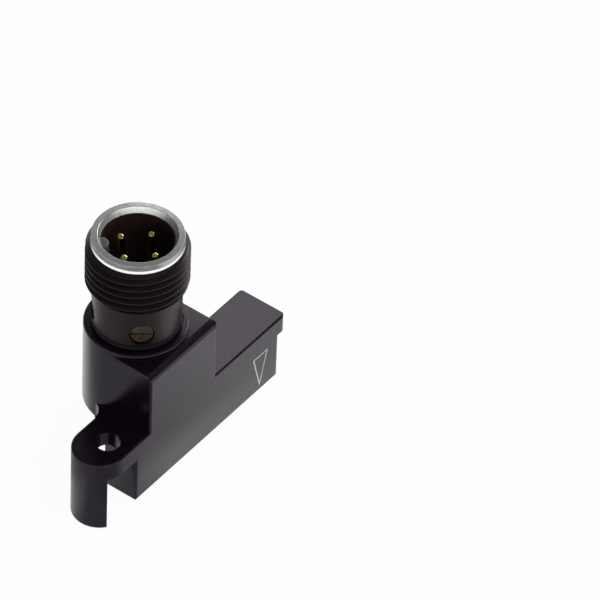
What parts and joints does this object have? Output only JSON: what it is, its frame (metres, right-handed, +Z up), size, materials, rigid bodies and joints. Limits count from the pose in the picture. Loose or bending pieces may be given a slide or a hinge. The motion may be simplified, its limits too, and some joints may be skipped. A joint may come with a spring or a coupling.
{
  "type": "magnetic field sensor",
  "caption": "Block-shaped magnetic field sensor with a fixing ear, a claw and an upright round plug connector, for the piston magnet of a cylinder.",
  "frame": {"origin": "on the fixing hole's axis, in the top face of the plate", "axes": "+X along the sensor block away from the ear, +Z up through the plug, -Y is the front with the marking field"},
  "size_m": [0.0337, 0.0131, 0.0329],
  "materials": {
    "housing_plastic": "satin moulded black polyamide",
    "barrel_plastic": "fine-textured moulded black polyamide",
    "nickel": "turned and nickel-plated",
    "carrier_plastic": "moulded black",
    "gold_plating": "gold-plated, polished",
    "amber_plastic": "clear amber moulding",
    "seal_rubber": "glossy black nitrile",
    "gasket_rubber": "matt grey-black",
    "board": "solder mask over glass laminate",
    "chip_plastic": "moulded epoxy",
    "resistor_film": "glazed film on ceramic",
    "capacitor_ceramic": "sintered ceramic",
    "led_resin": "clear yellow resin",
    "lead_brown": "brown insulation",
    "lead_white": "white insulation",
    "lead_blue": "blue insulation",
    "lead_black": "black insulation",
    "potting_resin": "cast resin"
  },
  "bodies": {
    "root": {"housing": "housing_plastic", "base_cover": "housing_plastic", "connector_body": "barrel_plastic", "rim_sleeve": "nickel", "contact_carrier": "carrier_plastic", "contact_pin_1": "gold_plating", "contact_pin_2": "gold_plating", "contact_pin_3": "gold_plating", "contact_pin_4": "gold_plating", "light_guide": "amber_plastic", "seal_ring": "seal_rubber", "carrier_seal": "gasket_rubber", "connector_board": "board", "main_board": "board", "sensor_chip": "chip_plastic", "amplifier_chip": "chip_plastic", "voltage_regulator": "chip_plastic", "output_transistor": "chip_plastic", "protection_diodes": "chip_plastic", "resistors": "resistor_film", "capacitors": "capacitor_ceramic", "indicator_leds": "led_resin", "lead_wire_1": "lead_brown", "lead_wire_2": "lead_white", "lead_wire_3": "lead_blue", "lead_wire_4": "lead_black", "potting": "potting_resin"}
  },
  "joints": []
}
